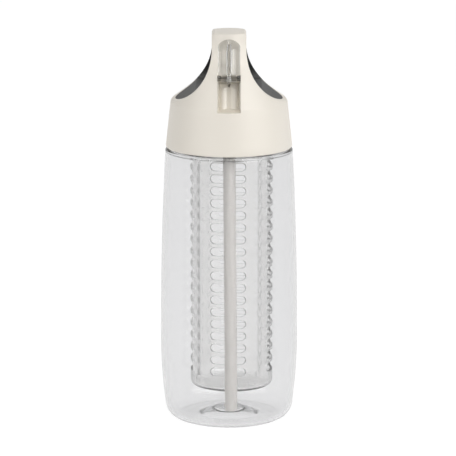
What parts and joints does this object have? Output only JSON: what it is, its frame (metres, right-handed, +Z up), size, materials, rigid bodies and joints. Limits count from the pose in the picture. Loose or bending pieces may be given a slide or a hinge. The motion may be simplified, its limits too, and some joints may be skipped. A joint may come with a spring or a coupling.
{
  "type": "fruit infuser water bottle",
  "caption": "Clear barrel-shaped drinking bottle with a screw lid that carries a flip spout, a carry loop, a straw and a full-length slotted fruit infuser.",
  "frame": {"origin": "centre of the base, on the plane that the bottle stands on", "axes": "+Z up along the bottle axis; the spout faces -Y; +X is to the right as seen from the front"},
  "size_m": [0.0808, 0.0808, 0.2305],
  "materials": {
    "clear_bottle": "clear moulded copolyester, polished",
    "clear_spout": "clear moulded plastic, polished",
    "clear_infuser": "clear moulded plastic, polished",
    "cream_plastic": "satin moulded polypropylene",
    "charcoal_grip": "matt soft-touch elastomer",
    "silicone": "translucent silicone",
    "frosted_straw": "frosted extruded polypropylene"
  },
  "bodies": {
    "bottle": {"bottle_body": "clear_bottle"},
    "neck_seal": {"neck_gasket": "silicone"},
    "lid": {"lid_shell": "cream_plastic", "handle_liner": "charcoal_grip", "inner_cap": "cream_plastic", "vent_valve": "silicone", "spout_frame": "clear_spout", "spout_seal": "silicone", "straw": "frosted_straw"},
    "spout": {"spout": "clear_spout"},
    "infuser": {"infuser_basket": "clear_infuser"}
  },
  "joints": [
    {"name": "lid_twist", "type": "hinge", "parent": "bottle", "child": "neck_seal", "pos_m": [0, 0, 0.178], "axis": [0, 0, 1], "range_deg": [0, 450]},
    {"name": "lid_lift", "type": "slide", "parent": "neck_seal", "child": "lid", "axis": [0, 0, 1], "range_m": [0, 0.2]},
    {"name": "spout_flip", "type": "hinge", "parent": "lid", "child": "spout", "pos_m": [0, -0.02619, 0.2068], "axis": [1, 0, 0], "range_deg": [0, 163]},
    {"name": "infuser_twist", "type": "hinge", "parent": "lid", "child": "infuser", "pos_m": [0.0015, 0.0032, 0.17], "axis": [0, 0, 1], "range_deg": [0, 40]}
  ]
}
